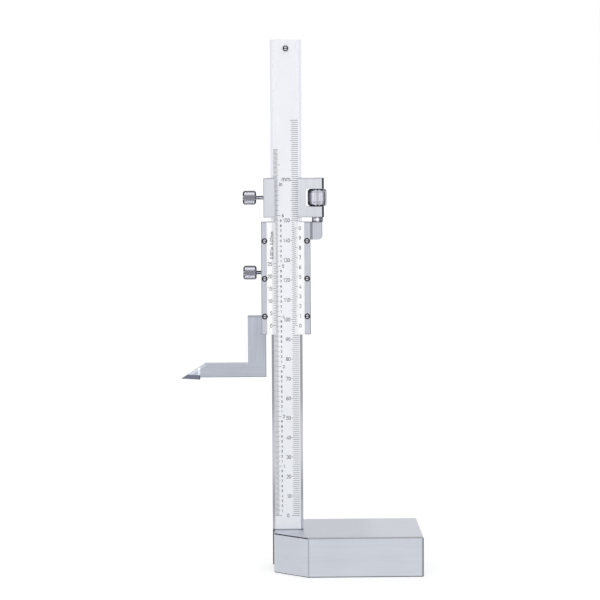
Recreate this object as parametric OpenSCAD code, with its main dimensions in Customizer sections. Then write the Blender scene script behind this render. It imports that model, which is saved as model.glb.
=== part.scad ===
// Small vernier height gauge: a ground base with an upright graduated beam, a vernier slider
// with a carbide-tipped scriber, and a clamping carriage that feeds the slider by a fine screw.
// Millimetres, +Z up. The origin is the centre of the base's underside. The scriber points to -X,
// and the scales face -Y.

/* [Reading] */
// Height of the scriber's measuring face above the table
reading = 97.2; // [10:0.1:155]

/* [Base] */
// Length of the base along X
base_l = 74.5; // [72:0.5:90]
// Depth of the base along Y
base_d = 50; // [46:1:60]
// Height of the base
base_h = 20; // [16:1:25]
// Length of the corner cuts beside the beam, along X
base_cut_x = 16.6; // [14:0.1:19]
// Depth of the corner cuts beside the beam, along Y
base_cut_y = 13; // [9:0.5:14]
// Broken edges of the base
base_edge = 0.5; // [0.2:0.1:0.8]

/* [Beam] */
// Width of the beam
beam_w = 15.6; // [15.4:0.1:15.8]
// Thickness of the beam
beam_t = 5; // [4.9:0.1:5]
// Height of the beam's top above the table
beam_top = 267.3; // [262:0.1:275]
// How far the beam stands out past the base's end face
beam_overhang = 0.6; // [0:0.1:1]
// Height of the slot's floor in the base
beam_foot = 2; // [1.5:0.5:4]
// Width of the bevels along the scale face
beam_bevel_w = 1.4; // [0.8:0.1:1.6]
// Depth of the bevels along the scale face
beam_bevel_d = 0.5; // [0.3:0.1:0.8]
// Distance of the stop screw below the beam's top
stop_drop = 4.4; // [3:0.1:6]

/* [Slider] */
// Height of the slider
slider_h = 56.5; // [56:0.5:60]
// Depth of the slider and the carriage, front to back
head_d = 10; // [9.8:0.1:11]
// Slider's left side, left of the beam's centre line
slider_left = 12.8; // [12.6:0.1:13.2]
// Slider's right side, right of the beam's centre line
slider_right = 12; // [11.8:0.1:12.6]
// Rounding of the slider's right edges
slider_round = 0.8; // [0.3:0.1:1]
// Thickness of the front lips that hold the slider on the beam
lip_t = 1.1; // [1:0.1:1.2]
// Width of the lug that carries the fine screw
lug_w = 6; // [5.8:0.1:6.4]
// Height of the lug
lug_h = 8.9; // [7:0.1:12]
// Thickness of the lug, front to back
lug_t = 6; // [5:0.1:8]
// Radius of the lug's lower corner
lug_r = 2; // [1:0.1:2.5]

/* [Vernier plates] */
// Thickness of the vernier plates
plate_t = 1.2; // [1.1:0.1:1.3]
// Inner edge of the inch plate, left of the centre line
inch_edge = 5.4; // [5.2:0.1:5.6]
// Inner edge of the metric plate, right of the centre line
metric_edge = 3.8; // [3.6:0.1:4]
// Width of the bevel that brings the graduations down to the beam
plate_bevel = 1.9; // [1.5:0.1:2]
// Diameter of the plate screws' heads
plate_screw_d = 2.8; // [2.6:0.1:2.8]

/* [Scriber] */
// Distance of the slider's underside above the measuring face
scriber_drop = 22.7; // [20:0.1:26]
// Width of the arm's upright leg
leg_w = 9.3; // [8.6:0.1:10]
// Height of the arm's lower leg
foot_h = 6.7; // [5.5:0.1:7.5]
// Reach of the tip, left of the beam's centre line
tip_reach = 53.7; // [48:0.1:60]
// Slope of the tip's upper face in degrees
tip_slope = 32.9; // [30:0.1:40]
// Thickness of the arm, front to back
arm_t = 7; // [6:0.1:8]
// Thickness of the carbide tip
carbide_t = 2.25; // [1.6:0.05:2.5]
// How far the carbide stands below the arm
carbide_proud = 1.1; // [0.5:0.1:1.4]
// Length of the carbide's underside
carbide_l = 9.8; // [8:0.1:11]

/* [Carriage] */
// Height of the carriage
carriage_h = 19.6; // [18:0.1:22]
// Gap between the slider and the carriage
carriage_gap = 2.4; // [2.4:0.1:3]
// Carriage's left side, left of the beam's centre line
carriage_left = 11.5; // [11.2:0.1:12]
// Carriage's right side, right of the beam's centre line
carriage_right = 18.9; // [18.4:0.1:19.4]
// Rounding of the carriage's right edges
carriage_round = 1.7; // [0.5:0.1:1.8]
// Half width of the carriage's window on the left
window_left = 5.9; // [5.5:0.1:6.5]
// Half width of the carriage's window on the right
window_right = 5.7; // [5.5:0.1:6.5]

/* [Fine adjustment] */
// Fine screw's axis, right of the beam's centre line
rod_x = 15.6; // [15.4:0.1:15.8]
// Diameter of the fine screw
rod_d = 3; // [2.6:0.1:3]
// Diameter of the knurled nut
fine_nut_d = 9.8; // [9:0.1:10]
// Height of the knurled nut
fine_nut_h = 8.6; // [7:0.1:9]
// Height of the nut's pocket in the carriage
pocket_h = 9; // [9:0.1:10]
// Width of the lock nut across its flats
lock_nut_af = 5.5; // [5:0.1:5.5]

/* [Clamp screws] */
// Diameter of the clamp screws' knobs
knob_d = 7.1; // [6:0.1:8]
// Length of the knobs
knob_l = 6.7; // [5:0.1:8]
// Inner face of the knobs, left of the beam's centre line
knob_x = 15.1; // [14.5:0.1:16]
// Diameter of the threaded studs
stud_d = 2; // [1.8:0.1:2.2]
// Height of the slider's clamp screw above the slider's underside
slider_clamp_up = 31; // [29:0.5:33]
// Number of knurls around a clamp knob
knob_knurls = 30; // [20:2:36]
// Number of knurls around the fine nut
nut_knurls = 40; // [24:2:48]

/* [Hidden] */
$fn = 64;
eps = 0.01;
over = 1;              // how far a cutting solid runs past the face that it cuts
spare = 0.2;           // how far the chamfering solid of a grip stands outside its knurls
fit = 0.02;            // radial gap of a screwed or pressed joint
run = 0.07;            // radial gap of a running joint
slide_gap = 0.1;       // gap between the beam and the guides

steel = [0.79, 0.80, 0.83];
satin = [0.93, 0.94, 0.95];
arm_steel = [0.70, 0.72, 0.76];
chromed = [0.82, 0.82, 0.86];
dark_steel = [0.42, 0.42, 0.46];
bronze = [0.72, 0.56, 0.34];
carbide = [0.36, 0.36, 0.42];

beam_x = -base_l/2 - beam_overhang + beam_w/2;
slider_z = reading + scriber_drop;
slider_top = slider_z + slider_h;
carriage_z = slider_top + carriage_gap;
carriage_mid = carriage_z + carriage_h/2;
stop_z = beam_top - stop_drop;

// Inside of the slider and the carriage, in plan, from the beam's centre line
front = -head_d/2;
guide_y = beam_t/2 + slide_gap;
guide_right = beam_w/2 + slide_gap;
gib_t = 1.2;
gib_room = 0.35;       // space behind a gib, taken up as its clamp screw is loosened
gib_face = beam_w/2 + slide_gap/2;
gib_back = gib_face + gib_t;
guide_left = gib_back + gib_room;
gib_w = 4.6;           // width of a gib, front to back
gib_margin = 1;        // distance of a gib's ends from the ends of its guide
peg_r = 0.8;           // pegs that keep a gib with its guide
peg_l = 0.9;
peg_room = 0.4;        // depth of a peg's hole past the peg

// Seats of the vernier plates
seat_y = -guide_y - lip_t;
inch_outer = 10.1;
metric_outer = 9;
nose_w = 1.1;          // width of the nose that fills the gap between a lip and the beam
nose_edge = 0.35;      // thickness of the bevelled edge that carries the graduations
plate_gap = 0.05;
plate_screw_at = [9.15, 28.15, 47.1];   // heights of the plate screws above the slider's underside
inch_screw_x = -11.1;
metric_screw_x = 10.2;
plate_head_t = 0.9;
plate_shank_r = 0.8;
plate_shank_l = 1.9;
plate_bore_r = plate_screw_d/2 + 0.1;   // counterbore around a head

// Scriber arm, from the beam's centre line and the measuring face
leg_left = slider_left + 7;
leg_right = leg_left - leg_w;
leg_top = scriber_drop + 9.2;
foot_z = carbide_proud;
foot_top = foot_z + foot_h;
slope_x = tip_reach - foot_top/tan(tip_slope);    // where the upper face starts to slope
carbide_x = tip_reach - carbide_l;
carbide_top_x = tip_reach - carbide_t/tan(tip_slope);
tongue_t = 4;          // thickness of the tongue let into the slider
tongue_h = 8;          // its height above the slider's underside
tip_bevel_x = 44.4;    // where the tip's front bevel starts
tip_w = 2.5;           // width left at the tip's end
fillet = 0.7;

// Screws
socket_r = 2.75;
socket_h = 3;
socket_af = 2.5;
m3_r = 1.5;
beam_screw_at = [6.5, 14.5];
beam_screw_tip = -1.5;
beam_screw_seat = 10;
stop_r = 1;
stop_out = 1.3;        // how far the stop screw stands out behind the beam
slot_w = 0.5;

// Star outline of a knurled cylinder
function knurl_outline(r, n, deep) = [
    for (i = [0:2*n - 1])
        let (a = i*180/n, q = (i % 2 == 0) ? r : r - deep)
        [q*cos(a), q*sin(a)]
];

// Plan points of a guide's right side, with its front and back edges rounded
function rounded_side(right, r) = [
    for (a = [0:15:90]) [right - r*(1 - sin(a)), front + r*(1 - cos(a))],
    for (a = [0:15:90]) [right - r*(1 - cos(a)), -front - r*(1 - sin(a))]
];

// Moves a shape drawn around the beam's centre line to its place, at height z
module on_beam(z = 0) {
    translate([beam_x, 0, z]) children();
}

// Plan outline raised from z0 to z1
module upright(points, z0, z1) {
    translate([0, 0, z0]) linear_extrude(z1 - z0) polygon(points);
}

// Outline in X and Z, extended from y0 to y1
module front_outline(points, y0, y1) {
    translate([0, y1, 0]) rotate([90, 0, 0]) linear_extrude(y1 - y0) polygon(points);
}

// Round bar along X from x0 to x1
module bar_x(x0, x1, r, y = 0, z = 0) {
    translate([x0, y, z]) rotate([0, 90, 0]) cylinder(h = x1 - x0, r = r);
}

// Round bar along Y from y0 to y1
module bar_y(y0, y1, r, x = 0, z = 0) {
    translate([x, y1, z]) rotate([90, 0, 0]) cylinder(h = y1 - y0, r = r);
}

// Round bar along Z with both ends chamfered by c
module turned(r, h, c) {
    rotate_extrude() polygon([[0, 0], [r - c, 0], [r, c], [r, h - c], [r - c, h], [0, h]]);
}

// Plan outline raised to height h, with its upper and lower edges broken by c
module edge_broken(points, h, c) {
    hull() {
        upright(points, c, h - c);
        linear_extrude(h) offset(delta = -c) polygon(points);
    }
}

// Knurled, chamfered grip along Z with a bore from its upper end
module knurled_grip(d, h, n, deep, chamfer, bore_r, bore_h) {
    difference() {
        intersection() {
            linear_extrude(h) polygon(knurl_outline(d/2, n, deep));
            turned(d/2 + spare, h, chamfer + spare);
        }
        translate([0, 0, h - bore_h]) cylinder(h = bore_h + over, r = bore_r);
    }
}

// Cheese-head screw along +Y: the head's outer face lies at y = 0
module cheese_screw(head_r, head_t, shank_r, shank_l) {
    rotate([-90, 0, 0]) {
        difference() {
            rotate_extrude()
                polygon([[0, 0], [head_r - 0.2, 0], [head_r, 0.2], [head_r, head_t], [0, head_t]]);
            translate([-head_r - over, -slot_w/2, -over]) cube([2*head_r + 2*over, slot_w, over + 0.45]);
        }
        translate([0, 0, head_t - eps]) cylinder(h = shank_l + eps, r = shank_r);
    }
}

// Base with its beam slot and the counterbored screw holes behind it
module base_block() {
    outline = [
        [-base_l/2, base_cut_y - base_d/2], [base_cut_x - base_l/2, -base_d/2],
        [base_l/2, -base_d/2], [base_l/2, base_d/2],
        [base_cut_x - base_l/2, base_d/2], [-base_l/2, base_d/2 - base_cut_y]
    ];
    color(steel) difference() {
        edge_broken(outline, base_h, base_edge);
        on_beam(beam_foot) translate([-beam_w, -beam_t/2, 0])
            cube([1.5*beam_w, beam_t, base_h]);
        for (z = beam_screw_at) on_beam(z) {
            bar_y(0, base_d, m3_r + 0.1);
            bar_y(beam_screw_seat, base_d, socket_r + 0.25);
        }
    }
}

// Beam with bevels along its scale face and tapped holes for its screws
module beam() {
    half = beam_w/2;
    back_edge = 0.3;
    color(satin) on_beam() difference() {
        upright([
            [-half, beam_bevel_d - beam_t/2], [beam_bevel_w - half, -beam_t/2],
            [half - beam_bevel_w, -beam_t/2], [half, beam_bevel_d - beam_t/2],
            [half, beam_t/2 - back_edge], [half - back_edge, beam_t/2],
            [back_edge - half, beam_t/2], [-half, beam_t/2 - back_edge]
        ], beam_foot, beam_top);
        for (z = beam_screw_at) bar_y(beam_screw_tip - 0.2, beam_t, m3_r + fit, z = z);
        bar_y(-beam_t, beam_t, stop_r + fit, z = stop_z);
    }
}

// Socket screws that draw the beam into its slot
module beam_screws() {
    color(dark_steel) for (z = beam_screw_at) on_beam(z) difference() {
        union() {
            bar_y(beam_screw_tip, beam_screw_seat + eps, m3_r);
            translate([0, beam_screw_seat, 0]) rotate([-90, 0, 0])
                rotate_extrude() polygon([[0, 0], [socket_r, 0], [socket_r, socket_h - 0.3],
                                          [socket_r - 0.3, socket_h], [0, socket_h]]);
        }
        translate([0, beam_screw_seat + 1.2, 0]) rotate([-90, 0, 0])
            cylinder(h = socket_h, r = socket_af/sqrt(3), $fn = 6);
    }
}

// Screw that keeps the carriage on the beam; its tip stands out behind
module stop_screw() {
    head_t = 0.9;
    color(dark_steel) on_beam(stop_z) translate([0, -beam_t/2 - head_t, 0])
        cheese_screw(plate_screw_d/2, head_t, stop_r, beam_t + stop_out);
}

// Holes that a gib's pegs and clamp stud need in the wall left of the beam
module gib_holes(peg_heights, stud_up) {
    for (z = peg_heights)
        bar_x(-gib_back - peg_l - peg_room, -guide_left + over, peg_r + run, z = z);
    bar_x(-slider_left - over, -guide_left + over, stud_d/2 + run, z = stud_up);
}

// Heights of the pegs on a gib of guide height h
function pegs(h) = [h*0.27, h*0.86];

// Slider: a channel around the beam, open in front between two lips that seat the plates
module slider_frame() {
    lip_left = -inch_edge - nose_w - plate_gap;
    lip_right = metric_edge + nose_w + plate_gap;
    color(steel) on_beam(slider_z) difference() {
        union() {
            upright([
                [-slider_left, front], [-inch_outer, front], [-inch_outer, seat_y],
                [lip_left, seat_y], [lip_left, -guide_y], [-guide_left, -guide_y],
                [-guide_left, guide_y], [guide_right, guide_y], [guide_right, -guide_y],
                [lip_right, -guide_y], [lip_right, seat_y], [metric_outer, seat_y],
                [metric_outer, front], each rounded_side(slider_right, slider_round),
                [0.3 - slider_left, -front], [-slider_left, -front - 0.3]
            ], 0, slider_h);
            slider_lug();
        }
        gib_holes(pegs(slider_h), slider_clamp_up);
        for (z = plate_screw_at, x = [inch_screw_x, metric_screw_x]) {
            bar_y(front - over, front + plate_head_t, plate_bore_r, x, z);
            bar_y(front, front + plate_head_t + plate_shank_l + 0.2, plate_shank_r + fit, x, z);
        }
        translate([-slider_left - over, -tongue_t/2, -over])
            cube([slider_left - leg_right + over, tongue_t, tongue_h + over]);
    }
}

// Lug on the slider's right, tapped for the fine screw, with its lower corner rounded
module slider_lug() {
    right = slider_right + lug_w;
    low = slider_h - lug_h;
    difference() {
        translate([0, lug_t/2, 0]) rotate([90, 0, 0]) linear_extrude(lug_t) union() {
            translate([slider_right - over, low]) square([lug_w + over - lug_r, lug_h]);
            translate([slider_right, low + lug_r]) square([lug_w, lug_h - lug_r]);
            translate([right - lug_r, low + lug_r]) circle(r = lug_r);
        }
        translate([rod_x, 0, low + 1.4]) cylinder(h = lug_h, r = rod_d/2 + fit);
    }
}

// L-shaped scriber arm with a tongue let into the slider; the tip is bevelled to a blade
module scriber_arm() {
    color(arm_steel) on_beam(reading) difference() {
        union() {
            front_outline([
                [-leg_right, foot_z], [-leg_right, scriber_drop], [-slider_left, scriber_drop],
                [-slider_left, leg_top], [-leg_left, leg_top], [-leg_left, foot_top + fillet],
                for (a = [15:15:75]) [-leg_left - fillet*(1 - cos(a)), foot_top + fillet*(1 - sin(a))],
                [-leg_left - fillet, foot_top], [-slope_x, foot_top],
                [-carbide_top_x, carbide_t], [-carbide_x, carbide_t], [-carbide_x, foot_z]
            ], -arm_t/2, arm_t/2);
            translate([-slider_left - over, -tongue_t/2, scriber_drop - over])
                cube([slider_left - leg_right + over, tongue_t, tongue_h + over]);
        }
        tip_bevel();
    }
}

// Upright cut that narrows the tip from the front
module tip_bevel() {
    end_y = arm_t/2 - tip_w;
    slope = (end_y + arm_t/2)/(tip_reach - tip_bevel_x);
    far = 6;
    upright([
        [-tip_bevel_x, -arm_t/2], [-tip_bevel_x, -arm_t],
        [-tip_reach - far, -arm_t], [-tip_reach - far, end_y + slope*far]
    ], -over, foot_top + over);
}

// Carbide tip brazed under the arm; its underside is the measuring face
module carbide_tip() {
    color(carbide) on_beam(reading) difference() {
        front_outline([
            [-carbide_x, 0.3], [-carbide_x - 0.3, 0], [-tip_reach, 0],
            [-carbide_top_x, carbide_t], [-carbide_x, carbide_t]
        ], -arm_t/2, arm_t/2);
        tip_bevel();
    }
}

// Vernier plate in plan, from its inner edge at x = 0 to its outer edge at x = width
module vernier_plate(width, screw_x) {
    face = seat_y - plate_t;
    nose_back = -beam_t/2 - slide_gap;
    difference() {
        upright([
            [0, nose_back], [0, nose_back - nose_edge], [plate_bevel, face],
            [width - plate_gap, face], [width - plate_gap, seat_y],
            [nose_w, seat_y], [nose_w, nose_back]
        ], 0, slider_h);
        for (z = plate_screw_at) bar_y(face - over, front + plate_head_t, plate_bore_r, screw_x, z);
    }
}

module inch_vernier_plate() {
    color(satin) on_beam(slider_z) translate([-inch_edge, 0, 0]) mirror([1, 0, 0])
        vernier_plate(inch_outer - inch_edge, -inch_screw_x - inch_edge);
}

module metric_vernier_plate() {
    color(satin) on_beam(slider_z) translate([metric_edge, 0, 0])
        vernier_plate(metric_outer - metric_edge, metric_screw_x - metric_edge);
}

// Three screws whose heads overlap a plate's outer edge
module plate_screws(x) {
    color(dark_steel) on_beam(slider_z) for (z = plate_screw_at)
        translate([x, front, z])
            cheese_screw(plate_screw_d/2, plate_head_t, plate_shank_r, plate_shank_l);
}

module inch_plate_screws() {
    plate_screws(inch_screw_x);
}

module metric_plate_screws() {
    plate_screws(metric_screw_x);
}

// Gib strip beside the beam, with two pegs, for a guide of height h
module gib(h) {
    translate([-gib_back, -gib_w/2, gib_margin]) cube([gib_t, gib_w, h - 2*gib_margin]);
    for (z = pegs(h)) bar_x(-gib_back - peg_l, -gib_back + eps, peg_r, z = z);
}

module slider_gib() {
    color(bronze) on_beam(slider_z) gib(slider_h);
}

module carriage_gib() {
    color(bronze) on_beam(carriage_z) gib(carriage_h);
}

// Fine screw, fixed in the slider's lug and passing up through the nut
module adjusting_rod() {
    foot = slider_top - lug_h + 1.6;
    color(dark_steel) on_beam(foot) translate([rod_x, 0, 0])
        turned(rod_d/2, carriage_z + carriage_h - 2 - foot, 0.3);
}

// Lock nut that fills the gap between the lug and the carriage
module rod_lock_nut() {
    h = carriage_gap - 0.05;
    color(steel) on_beam(slider_top) translate([rod_x, 0, 0]) difference() {
        intersection() {
            rotate([0, 0, 30]) cylinder(h = h, r = lock_nut_af/sqrt(3), $fn = 6);
            turned(lock_nut_af/sqrt(3), h, 0.3);
        }
        translate([0, 0, -over]) cylinder(h = h + 2*over, r = rod_d/2 + fit);
    }
}

// Knurled nut captive in the carriage's pocket
module fine_adjust_nut() {
    color(chromed) on_beam(carriage_mid - fine_nut_h/2) translate([rod_x, 0, 0])
        knurled_grip(fine_nut_d, fine_nut_h, nut_knurls, 0.3, 0.9, rod_d/2 + run, fine_nut_h + over);
}

// Carriage: a shorter channel around the beam, with a pocket for the fine nut
module carriage_frame() {
    pocket_x = rod_x - fine_nut_d/2 - 0.85;
    color(steel) on_beam(carriage_z) difference() {
        upright([
            [-carriage_left, front], [-window_left, front], [-window_left, -guide_y],
            [-guide_left, -guide_y], [-guide_left, guide_y], [guide_right, guide_y],
            [guide_right, -guide_y], [window_right, -guide_y], [window_right, front],
            each rounded_side(carriage_right, carriage_round),
            [0.3 - carriage_left, -front], [-carriage_left, -front - 0.3]
        ], 0, carriage_h);
        translate([pocket_x, front - over, (carriage_h - pocket_h)/2])
            cube([carriage_right, head_d + 2*over, pocket_h]);
        translate([rod_x, 0, -over]) cylinder(h = carriage_h + 2*over, r = rod_d/2 + run);
        gib_holes(pegs(carriage_h), carriage_h/2);
    }
}

// Threaded stud that presses on a gib, at height z
module clamp_stud(z) {
    hold = knob_l - 1.7;
    color(dark_steel) on_beam(z) translate([-gib_back, 0, 0]) rotate([0, -90, 0])
        turned(stud_d/2, knob_x - gib_back + hold, 0.2);
}

// Knurled knob pressed on a stud, at height z
module clamp_knob(z) {
    color(chromed) on_beam(z) translate([-knob_x - knob_l, 0, 0]) rotate([0, 90, 0])
        knurled_grip(knob_d, knob_l, knob_knurls, 0.25, 0.75, stud_d/2 + fit, knob_l - 1.6);
}

module slider_clamp_stud() {
    clamp_stud(slider_z + slider_clamp_up);
}

module slider_clamp_knob() {
    clamp_knob(slider_z + slider_clamp_up);
}

module carriage_clamp_stud() {
    clamp_stud(carriage_mid);
}

module carriage_clamp_knob() {
    clamp_knob(carriage_mid);
}

base_block();
beam();
beam_screws();
stop_screw();
slider_frame();
scriber_arm();
carbide_tip();
inch_vernier_plate();
metric_vernier_plate();
inch_plate_screws();
metric_plate_screws();
slider_gib();
adjusting_rod();
rod_lock_nut();
slider_clamp_stud();
slider_clamp_knob();
carriage_frame();
carriage_gib();
carriage_clamp_stud();
carriage_clamp_knob();
fine_adjust_nut();
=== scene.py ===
import math

import bpy
import numpy as np
from mathutils import Matrix, Vector


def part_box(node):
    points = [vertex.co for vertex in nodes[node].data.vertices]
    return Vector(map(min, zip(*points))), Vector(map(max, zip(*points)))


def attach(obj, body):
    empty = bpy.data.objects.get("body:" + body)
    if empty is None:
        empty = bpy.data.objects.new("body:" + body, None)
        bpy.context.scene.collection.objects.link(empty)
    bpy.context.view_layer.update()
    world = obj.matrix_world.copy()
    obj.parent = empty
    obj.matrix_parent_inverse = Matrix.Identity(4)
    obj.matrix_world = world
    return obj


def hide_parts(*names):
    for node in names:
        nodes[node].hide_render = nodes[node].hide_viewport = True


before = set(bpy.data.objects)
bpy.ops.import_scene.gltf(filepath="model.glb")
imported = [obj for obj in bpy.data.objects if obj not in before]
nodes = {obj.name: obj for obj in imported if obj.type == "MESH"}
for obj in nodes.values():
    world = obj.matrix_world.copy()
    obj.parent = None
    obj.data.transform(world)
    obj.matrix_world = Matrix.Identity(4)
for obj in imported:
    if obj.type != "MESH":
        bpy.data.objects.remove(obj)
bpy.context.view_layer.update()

# Units: shapes are worked out in millimetres and put into meshes in metres
MM = 0.001

# Scales on the beam, in millimetres. Places across the beam count from its centre line.
SCALE_ZERO = 27.2  # height of both zero lines above the table
METRIC_DIVISIONS = 200  # lines of 1 mm
METRIC_NUMBERS = 150  # last numbered millimetre
INCH = 25.4
INCH_DIVISION = 0.025  # of an inch
INCH_DIVISIONS = 292
METRIC_END = 6.05  # where the millimetre lines end, near the right bevel
METRIC_STARTS = (2.75, 2.35, 2.0)  # where 1, 5 and 10 mm lines start
INCH_START = -6.4  # where the inch lines start, near the left bevel
INCH_ENDS = (-4.4, -3.95, -3.0)  # where 0.025, 0.1 and 1 inch lines end
INCH_NUMBERS = 60  # last numbered tenth of an inch
METRIC_NUMBER_RIGHT = 1.6
ZERO_NUMBER_CENTRE = 0.1
TENTH_DIGIT_CENTRE = -2.85
INCH_DIGIT_CENTRE = -1.8
UNIT_MARK_MM = (-0.1, 170.9, 2.4)  # "mm": across, place on the millimetre scale, and height
UNIT_MARK_IN = (-2.8, 168.3, 2.0)

# Vernier plates, in millimetres
TIP_TO_VERNIER_ZERO = 27.2  # height of the verniers' zero lines above the measuring face
VERNIER_BEVEL = 1.9  # width of the bevel that carries the vernier lines
VERNIER_EDGE = 0.35  # thickness of a plate at its bevelled edge
METRIC_VERNIER = (50, 49.0)  # divisions, and their whole length
INCH_VERNIER = (25, 1.225 * INCH)
VERNIER_NUMBERED = 5  # every fifth line has a number
VERNIER_LINES = (1.3, 2.1)  # length along the bevel of a plain line, and of a numbered one
METRIC_VERNIER_NUMBERS = 6.7  # middle of the metric numbers, right of the beam's centre line
INCH_VERNIER_NUMBERS = -7.45  # right side of the inch numbers
RESOLUTIONS_ACROSS = -7.5  # middle of the upright wording
RESOLUTIONS_ABOVE = 2.6  # gap between the last inch vernier line and the wording

# Lines and lettering
LINE_WIDTH = 0.19
VERNIER_LINE_WIDTH = 0.17
LINE_INSET = 0.1  # gap between the vernier lines and their plate's edge
STROKE_WIDTH = 0.25
FINE_STROKE_WIDTH = 0.24  # of the tenths of an inch
WORDING_STROKE_WIDTH = 0.22
NUMBER_HEIGHT = 1.75  # of all millimetre numbers
INCH_NUMBER_HEIGHT = 1.5
INCH_VERNIER_HEIGHT = 1.7
TENTH_HEIGHT = 1.1
WORDING_HEIGHT = 1.55
MARK_PROUD = 0.02  # how far the ink stands above its face
MARK_SUNK = 0.04  # how far it reaches into it
DIGIT_ADVANCE = 0.7  # of the lettering's height
DIGIT_WIDTH = 0.52
ARC_POINTS = 9
SHARPEST_BEND = -0.3  # cosine of the bend past which a stroke's edges are not lengthened further

# Turned and threaded parts, in millimetres
KNOB_KNURL = {"count": 30, "depth": 0.07, "crossed": True, "crest": 0.3, "chamfer": 0.75}
NUT_KNURL = {"count": 40, "depth": 0.05, "crossed": False, "crest": 0.7, "chamfer": 0.9}
KNURL_POINTS = 6  # points of a ring for each knurl
CHAMFER_RINGS = 7
STRAIGHT_RINGS = 5  # between the chamfers, where the grooves run straight
CONE_GLEAM = 12  # degrees from each quarter turn to the parts of the chamfers left without painted shade
CONE_GLEAM_HALF = 5
CONE_GLEAM_FADE = 4
KNOB_FIT = 0.02  # gap around the stud in its knob
BORE_GAP = 0.07  # gap around the fine screw in its nut
STUD_THREAD = (0.4, 0.2)  # pitch, and chamfer of the ends
ROD_THREAD = (0.5, 0.3)
THREAD_DEPTH = 0.13
THREAD_SLOPE = 1.3  # of the flanks: above 1 it leaves flats on the crests and roots
THREAD_SIDES = 24
THREAD_RINGS = 6  # rings for each pitch
KNURL_SHARP = 40  # edges sharper than this, in degrees, are not smoothed
THREAD_SHARP = 35


# Mesh tools

def beam_centre():
    """Place of the beam's centre line along X, in metres."""
    low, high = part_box("beam")
    return (low.x + high.x) / 2


def box_mm(node):
    """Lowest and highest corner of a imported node, in millimetres."""
    low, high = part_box(node)
    return np.array(low) / MM, np.array(high) / MM


def join(parts):
    """One (vertices, faces) pair from several, each part's faces counted on from the last part."""
    vertices = np.concatenate([part[0] for part in parts])
    counts = np.cumsum([0] + [len(part[0]) for part in parts])
    faces = [face for part, first in zip(parts, counts) for face in (part[1] + first).tolist()]
    return vertices, faces


def piece(name, body, vertices, faces, finish, slot=None, smooth_angle=None, groove=None):
    """A mesh from millimetre vertices, riding on a body. groove, a share of painted shade, is kept for its
    finish, point by point.
    """
    mesh = bpy.data.meshes.new(name)
    mesh.from_pydata((np.asarray(vertices) * MM).tolist(), [], faces)
    mesh.validate()
    mesh.update()
    obj = bpy.data.objects.new(name, mesh)
    bpy.context.scene.collection.objects.link(obj)
    mesh.materials.append(finish)
    if smooth_angle is not None:
        mesh.shade_smooth()
        mesh.set_sharp_from_angle(angle=math.radians(smooth_angle))
    if groove is not None:
        mesh.attributes.new("groove", "FLOAT", "POINT").data.foreach_set("value", groove)
    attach(obj, body)
    return obj


# Marks: every line and stroke is a thin closed strip, four corners at each point of its path

class Face:
    """A flat face that carries marks: right and up lie in it, and their cross product points out."""

    def __init__(self, origin, right=(1, 0, 0), up=(0, 0, 1)):
        self.origin = np.array(origin, float)
        self.right = np.array(right, float) / np.linalg.norm(right)
        self.up = np.array(up, float)
        self.out = np.cross(self.right, self.up)

    def place(self, flat, height):
        """Points (across, up) of the face, raised by height."""
        return self.origin + flat[..., :1] * self.right + flat[..., 1:] * self.up + height * self.out


def strip_faces(count, rings, closed):
    """Quads of count strips of four-cornered rings, each ring joined to the next, with caps on open ends."""
    step, corner = np.meshgrid(np.arange(rings if closed else rings - 1), np.arange(4), indexing="ij")
    after = (step + 1) % rings
    beside = (corner + 1) % 4
    sides = np.stack([4 * step + corner, 4 * after + corner, 4 * after + beside, 4 * step + beside], -1)
    quads = sides.reshape(-1, 4)
    if not closed:
        last = 4 * (rings - 1)
        caps = np.array([[1, 2, 3, 0], [last, last + 3, last + 2, last + 1]])
        quads = np.concatenate([quads, caps])
    return (quads + 4 * rings * np.arange(count)[:, None, None]).reshape(-1, 4)


def strip(face, left, right, closed=False):
    """Strips between left and right edges: arrays of strips, of points, of (across, up)."""
    rings = np.stack([
        face.place(right, MARK_PROUD), face.place(left, MARK_PROUD),
        face.place(left, -MARK_SUNK), face.place(right, -MARK_SUNK),
    ], axis=2)
    return rings.reshape(-1, 3), strip_faces(rings.shape[0], rings.shape[1], closed)


def lines(face, starts, ends, heights, width=LINE_WIDTH):
    """Level lines on a face, each from its start to its end at its height."""
    across = np.stack(np.broadcast_arrays(starts, ends), axis=-1).astype(float)
    level = np.broadcast_to(np.asarray(heights, float)[:, None], across.shape)
    left = np.stack([across, level + width / 2], axis=-1)
    right = np.stack([across, level - width / 2], axis=-1)
    return strip(face, left, right)


def stroke(face, points, closed, width=STROKE_WIDTH):
    """A line of even width along points: at each point the edges lie along the mean of the normals of its
    two segments, lengthened so that the width holds round the bend. Open ends run on by half the width."""
    points = np.array(points, float)
    ahead = np.diff(points, axis=0, append=points[:1])
    ahead /= np.linalg.norm(ahead, axis=1)[:, None]
    behind = np.roll(ahead, 1, axis=0)
    if not closed:
        ahead[-1] = ahead[-2]
        behind[0] = ahead[0]
        points[0] -= ahead[0] * width / 2
        points[-1] += ahead[-1] * width / 2
    turn = np.array([[0, 1], [-1, 0]])
    first, second = ahead @ turn, behind @ turn
    cosine = np.maximum((first * second).sum(axis=1), SHARPEST_BEND)
    offset = (first + second) / (1 + cosine)[:, None] * width / 2
    return strip(face, (points + offset)[None], (points - offset)[None], closed)


def arc(centre_x, centre_y, radius_x, radius_y, start, end, count=ARC_POINTS):
    """Points on an ellipse, from one angle to another in degrees."""
    angle = np.radians(np.linspace(start, end, count))
    return np.stack([centre_x + radius_x * np.cos(angle), centre_y + radius_y * np.sin(angle)], axis=1)


def oval(centre_x, centre_y, radius_x, radius_y):
    """A closed ellipse, without the last point, which would repeat the first."""
    return arc(centre_x, centre_y, radius_x, radius_y, 0, 360, 2 * ARC_POINTS)[:-1]


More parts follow.
